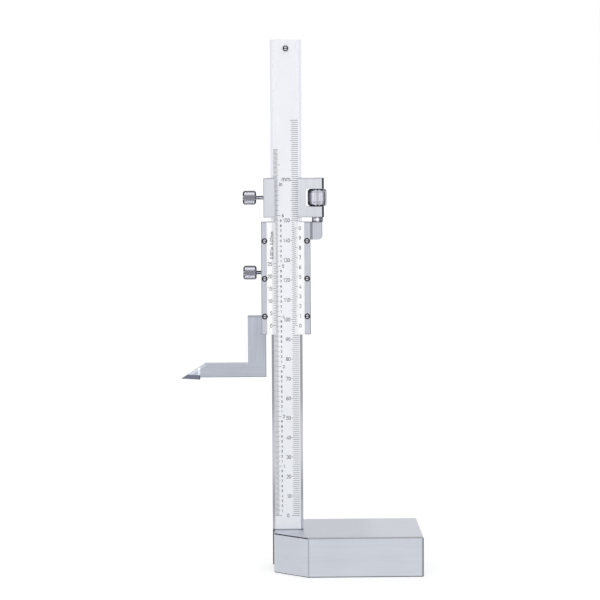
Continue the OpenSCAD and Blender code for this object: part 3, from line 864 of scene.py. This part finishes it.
def arm_finish():
    """Ground steel with upright streaks on the leg and level ones on the foot. The corner of the front bevel
    and the edge along the tip's slope have painted highlights, and the bevels painted shade."""
    made, tree, shader = material("arm finish")
    mask = below(tree, Z_AXIS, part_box("scriber_arm")[0].z + FOOT_HEIGHT, blur=0.002)
    # The arm's bevelled faces get painted shade
    settings = {"Tone": ARM_TONE, "Roughness": 0.36, "Spread": 1.0, "Wander": 0.25, "Bevels": 0.4}
    leg = use_group(tree, "ground", Grain=ALONG_Z, **settings)
    foot = use_group(tree, "ground", Grain=ALONG_X, **settings)
    colour, roughness, height = blend(tree, mask, leg, foot)
    # Painted highlight on the corner of the front bevel
    corner = (-0.6, X_AXIS, beam_centre() - TIP_BEVEL, 0.0006, TO_FRONT, 0.7)
    colour = shaded(tree, colour, "scriber_arm", [corner])
    slope = math.radians(TIP_SLOPE)
    across_slope = Vector((-math.sin(slope), 0, math.cos(slope)))
    slope_place = across_slope.dot(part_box("carbide_tip")[0])
    # Painted highlight along the edge of the tip's slope
    painted_slope_highlight = band(tree, across_slope, slope_place - 0.0004, 0.0007, TO_FRONT, 0.7)
    colour = darken(tree, colour, times(tree, painted_slope_highlight, mask), -0.28)
    dress(tree, shader, colour, roughness, height, ARM_BUMP)
    return made


def stud_finish():
    """Bright threads, with painted shade along the top and the underside of the two studs."""
    made, tree, shader = material("stud finish")
    steel = use_group(tree, "ground", Tone=STUD_TONE, Grain=ALONG_X, Roughness=0.22, Spread=0.3)
    place = object_place(tree)
    height = add(tree, "ShaderNodeSeparateXYZ", {0: place}).outputs[2]
    off_axis = 1.0
    for node in ("slider_clamp_stud", "carriage_clamp_stud"):
        low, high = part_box(node)
        gap = maths(tree, "ABSOLUTE", minus(tree, height, (low.z + high.z) / 2))
        off_axis = maths(tree, "MINIMUM", gap, off_axis)
    radius = (high.z - low.z) / 2
    # Painted shade above and below the studs' middle height
    colour = darken(tree, steel["Colour"], fade(tree, off_axis, radius * 0.2, radius * 0.6), 0.95)
    dress(tree, shader, colour, steel["Roughness"], steel["Height"], STEEL_BUMP)
    return made


def screw_finish(node, count, bright_radius):
    """Steel for a node's column of screws, with painted shade darkening each head round its bright middle.
    The slots lie below the heads' faces and keep that painted shade."""
    made, tree, shader = material(node.replace("_", " ") + " finish")
    low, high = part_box(node)
    radius = (high.x - low.x) / 2
    nearest = 1.0
    for height in np.linspace(low.z + radius, high.z - radius, count).tolist():
        distance = use_group(tree, "axis", Centre=((low.x + high.x) / 2, 0.0, height))["Distance"]
        nearest = maths(tree, "MINIMUM", distance, nearest)
    middle = fall(tree, nearest, bright_radius * 0.9, bright_radius * 1.1)
    face = below(tree, Y_AXIS, low.y + SCREW_FACE)
    # Painted shade on each head round its bright middle and in the slots
    dark = use_group(tree, "satin", Tone=DARK_TONE, Grain=4000.0, Roughness=0.35, Spread=0.3)
    bright = use_group(tree, "satin", Tone=SCREW_TONE, Grain=5000.0, Roughness=0.25, Spread=0.2)
    dress(tree, shader, *blend(tree, times(tree, middle, face), dark, bright), FINE_BUMP)
    return made


def dress_nodes():
    """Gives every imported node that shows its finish."""
    bronze = ground_finish("gib bronze", BRONZE_TONE, ALONG_Z, roughness=0.4)
    plate = satin_finish("vernier plate satin", PLATE_TONE, 0.5, metallic=0.5)
    finishes = {
        "base_block": base_finish(),
        "beam": beam_finish(),
        "beam_screws": satin_finish("socket screw black", DARK_TONE, 0.4),
        "stop_screw": screw_finish("stop_screw", 1, STOP_SCREW_BRIGHT),
        "slider_frame": slider_finish(),
        "scriber_arm": arm_finish(),
        "carbide_tip": ground_finish("carbide", CARBIDE_TONE, ALONG_X, roughness=0.3),
        "inch_vernier_plate": plate,
        "metric_vernier_plate": plate,
        "inch_plate_screws": screw_finish("inch_plate_screws", 3, PLATE_SCREW_BRIGHT),
        "metric_plate_screws": screw_finish("metric_plate_screws", 3, PLATE_SCREW_BRIGHT),
        "slider_gib": bronze,
        "carriage_gib": bronze,
        "rod_lock_nut": lock_nut_finish(),
        "carriage_frame": carriage_finish(),
    }
    for name, finish in finishes.items():
        nodes[name].data.materials.clear()
        nodes[name].data.materials.append(finish)


# Studio: a white room whose panels and darker corners show only in the metal

# Levels are brightnesses as the metal sees them, and white is 1. Turns and rises are in degrees, seen from
# the object: the camera stands at a turn of 0. The ceiling's edges and WHITE_BEHIND are parts of a direction
# of length 1, along X or Y.
FRONT_LEVEL = 1.0
PANEL_LEVEL = 2.0
DARK_LEVEL = 0.1
SOFT_LEVEL = 0.9  # what the panels and the dark between them fade to higher up
SOFT_SHARE = 0.35  # of their difference from it that stays
SOFT_RISE = (6, 14)
PANEL_START, PANEL_END = (18, 26), (62, 69)
SIDE_STRIPS = ((-110, 36, 0.9), (128, 16, 1.6))  # turn of the middle, half width, and level
STRIP_FADE = 3
WHITE_BEHIND = (0.78, 0.9)
CEILING_RISE = (50, 62)
SLOT_LEVEL = 0.25  # of the dark slot that runs over the object from front to back
SLOT_EDGE = (0.13, 0.2)
CEILING_LEVEL = 4.2  # on both sides of the slot
CEILING_EDGE = (0.4, 0.48)
CEILING_BACK = (0.1, 0.3)
CEILING_FRONT = 5.2  # in front of the object
FRONT_START = (-0.14, -0.08)
FRONT_EDGE = (0.4, 0.6)
FLOOR_REACH = 15.0  # metres, as the distances below
FLOOR_DROP = 0.0001  # the floor lies this far below the base
FLOOR_NEAR = (0.2, 0.35)  # between these distances the floor turns from white into the panels
BEVEL_SECTOR = (20, 30, 44, 50)  # the floor is dark between these turns from the beam's foot
BEVEL_DARK = 0.3
SECTOR_NEAR, SECTOR_FAR = (0.13, 0.2), (1.5, 3.0)  # where the sector starts and ends
SECTOR_RISE = (0.45, 0.65, 0.55, 1.0)  # nearer by it is fainter: two distances, and its share at each
FLOOR_GREY, FLOOR_GLOW = 0.5, 0.56  # what the camera sees: a matt grey that also glows
LAMP_ACROSS = (-0.09, -0.035)  # the lamp below the knobs: its left and right side
LAMP_FRONT, LAMP_BACK = (-0.105, 0.031), (-0.012, 0.085)  # Y and height of its front and back edge
LAMP_LEVEL = 3.2
LAMP_SPREAD = 146  # so that the beam and the scriber lie outside its light


def within(tree, value, start, end):
    """1 between two edges, each a pair of values over which it rises or falls."""
    return times(tree, fade(tree, value, *start), fall(tree, value, *end))


def ceiling_level(tree, x, y):
    """Brightness of the ceiling, from the X and Y of a direction of length 1."""
    beside = maths(tree, "ABSOLUTE", x)
    sides = within(tree, beside, SLOT_EDGE, CEILING_EDGE)
    sides = times(tree, sides, fade(tree, y, *CEILING_BACK, CEILING_LEVEL, 0.0))
    front = fade(tree, y, *FRONT_START, CEILING_FRONT, 0.0)
    front = times(tree, front, fall(tree, beside, *FRONT_EDGE))
    return maths(tree, "MAXIMUM", maths(tree, "MAXIMUM", sides, front), SLOT_LEVEL)


def studio_panels(tree, direction):
    """Brightness that metal sees in each direction: white in front and behind, bright panels at 40 degrees
    to the left and right, others at the sides, dark between them, all of it softer higher up, and a bright
    ceiling with a dark slot over the object."""
    x, y, z = add(tree, "ShaderNodeSeparateXYZ", {0: direction}).outputs
    azimuth = maths(tree, "DEGREES", maths(tree, "ARCTAN2", x, times(tree, y, -1.0)))
    rise = maths(tree, "DEGREES", maths(tree, "ARCSINE", z))
    turn = maths(tree, "ABSOLUTE", azimuth)
    level = fade(tree, turn, *PANEL_START, FRONT_LEVEL, PANEL_LEVEL)
    level = times(tree, level, fade(tree, turn, *PANEL_END, 1.0, DARK_LEVEL / PANEL_LEVEL))
    for centre, half_width, strip_level in SIDE_STRIPS:
        off_strip = maths(tree, "ABSOLUTE", minus(tree, azimuth, centre))
        edge = (half_width - STRIP_FADE, half_width + STRIP_FADE)
        level = maths(tree, "MAXIMUM", level, fade(tree, off_strip, *edge, strip_level, 0.0))
    softer = maths(tree, "MULTIPLY_ADD", minus(tree, level, SOFT_LEVEL), SOFT_SHARE, SOFT_LEVEL)
    level = mixed(tree, fade(tree, rise, *SOFT_RISE), level, softer)
    level = mixed(tree, fade(tree, rise, *CEILING_RISE), level, ceiling_level(tree, x, y))
    return maths(tree, "MAXIMUM", level, fade(tree, y, *WHITE_BEHIND))


def mirrored_ray(tree):
    """1 for what metal or glass shows, else 0."""
    rays = add(tree, "ShaderNodeLightPath").outputs
    return maths(tree, "MAXIMUM", rays["Is Glossy Ray"], rays["Is Transmission Ray"])


def make_world():
    """White to the camera, an even fill for matt surfaces, and the studio's panels in the metal."""
    world = bpy.data.worlds.new("studio")
    bpy.context.scene.world = world
    world.use_nodes = True
    tree = world.node_tree
    tree.nodes.clear()
    direction = add(tree, "ShaderNodeTexCoord").outputs["Generated"]
    level = mixed(tree, mirrored_ray(tree), 1.0, studio_panels(tree, direction))
    shade = add(tree, "ShaderNodeBackground", {"Color": (1, 1, 1, 1), "Strength": level})
    output = add(tree, "ShaderNodeOutputWorld")
    tree.links.new(shade.outputs[0], output.inputs["Surface"])


def bevel_sector(tree, place, distance):
    """Share of the dark sector on each side of the beam, where its bevels see the floor."""
    x, y, z = add(tree, "ShaderNodeSeparateXYZ", {0: place}).outputs
    from_beam = minus(tree, x, beam_centre())
    turn = maths(tree, "DEGREES", maths(tree, "ARCTAN2", from_beam, times(tree, y, -1.0)))
    share = within(tree, maths(tree, "ABSOLUTE", turn), BEVEL_SECTOR[:2], BEVEL_SECTOR[2:])
    share = times(tree, share, within(tree, distance, SECTOR_NEAR, SECTOR_FAR))
    return times(tree, share, fade(tree, distance, *SECTOR_RISE))


def floor_level(tree):
    """Brightness of the floor as the metal sees it: white near the object, dark in a sector on each side of
    the beam, and as bright as the studio's panels farther out."""
    place = object_place(tree)
    distance = vectors(tree, "LENGTH", place)
    panels = studio_panels(tree, vectors(tree, "NORMALIZE", place))
    level = mixed(tree, fade(tree, distance, *FLOOR_NEAR), 1.0, panels)
    return times(tree, level, mixed(tree, bevel_sector(tree, place, distance), 1.0, BEVEL_DARK))


def make_floor():
    """A pale floor that reads white and keeps the object's shadow. It shows the studio's panels to metal."""
    mesh = bpy.data.meshes.new("floor")
    reach, level = FLOOR_REACH, -FLOOR_DROP
    corners = [(x * reach, y * reach, level) for x, y in ((-1, -1), (1, -1), (1, 1), (-1, 1))]
    mesh.from_pydata(corners, [], [(0, 1, 2, 3)])
    floor = bpy.data.objects.new("floor", mesh)
    bpy.context.scene.collection.objects.link(floor)
    made = bpy.data.materials.new("floor white")
    made.use_nodes = True
    tree = made.node_tree
    tree.nodes.clear()
    matt = add(tree, "ShaderNodeBsdfDiffuse", {"Color": (FLOOR_GREY, FLOOR_GREY, FLOOR_GREY, 1)})
    glow = add(tree, "ShaderNodeEmission", {"Color": (1, 1, 1, 1), "Strength": FLOOR_GLOW})
    seen = add(tree, "ShaderNodeAddShader", {0: matt.outputs[0], 1: glow.outputs[0]})
    mirrored = add(tree, "ShaderNodeEmission", {"Color": (1, 1, 1, 1), "Strength": floor_level(tree)})
    shaders = {0: mirrored_ray(tree), 1: seen.outputs[0], 2: mirrored.outputs[0]}
    chosen = add(tree, "ShaderNodeMixShader", shaders)
    output = add(tree, "ShaderNodeOutputMaterial")
    tree.links.new(chosen.outputs[0], output.inputs["Surface"])
    mesh.materials.append(made)


def make_lamp():
    """An area lamp that slopes down towards the camera and gives the knobs their bright lower bands. It
    shines upwards only, and shows only in metal that looks steeply down."""
    left, right = LAMP_ACROSS
    front, back = (Vector((0, *edge)) for edge in (LAMP_FRONT, LAMP_BACK))
    slope = back - front
    data = bpy.data.lights.new("lower lamp", "AREA")
    data.shape = "RECTANGLE"
    data.size, data.size_y = right - left, slope.length
    # A rectangle's brightness is a quarter of its power over its area
    data.energy = 4 * LAMP_LEVEL * data.size * data.size_y
    data.spread = math.radians(LAMP_SPREAD)
    lamp = bpy.data.objects.new("lower lamp", data)
    bpy.context.scene.collection.objects.link(lamp)
    lamp.visible_camera = False
    lamp.visible_diffuse = False
    across, along = Vector((-1, 0, 0)), slope.normalized()
    turn = Matrix((across, along, across.cross(along))).transposed()
    middle = (front + back) / 2 + Vector(((left + right) / 2, 0, 0))
    lamp.matrix_world = Matrix.Translation(middle) @ turn.to_4x4()


def make_camera():
    """The photograph's viewpoint, from a fit to the scale's 10 mm lines and the base's corners. The camera
    is turned by yaw to the right, by pitch downwards, and by roll about its own axis, in radians."""
    focal_pixels = 2021.7
    picture_pixels = 600
    yaw, pitch, roll = 0.01793, 0.08788, -0.0052
    place = Vector((-41.6, -1016.1, 226.4)) * MM
    data = bpy.data.cameras.new("camera")
    data.sensor_width = 36
    data.lens = focal_pixels * data.sensor_width / picture_pixels
    camera = bpy.data.objects.new("camera", data)
    bpy.context.scene.collection.objects.link(camera)
    # Unturned, a camera looks down: it is raised to look along +Y, and a little below that
    turn = Matrix.Rotation(-yaw, 4, "Z") @ Matrix.Rotation(math.pi / 2 - pitch, 4, "X")
    camera.matrix_world = Matrix.Translation(place) @ turn @ Matrix.Rotation(roll, 4, "Z")
    bpy.context.scene.camera = camera


bpy.context.scene.view_settings.view_transform = "Standard"
make_camera()
make_world()
make_floor()
make_lamp()
dress_nodes()
ink = satin_finish("scale ink", INK_TONE, 0.6, metallic=0.0)
# The knobs' and nut's finishes paint shade into the knurls' grooves and onto their chamfers
clamp_screws(satin_finish("clamp knob chrome", KNOB_TONE, 0.2, spread=0.15, painted_groove_shade=0.95),
             stud_finish())
fine_adjustment(satin_finish("fine nut chrome", NUT_TONE, 0.12, spread=0.15, painted_groove_shade=0.7),
                ground_finish("fine screw steel", NUT_TONE, ALONG_X, roughness=0.22))
beam_marks(ink)
vernier_marks(ink)
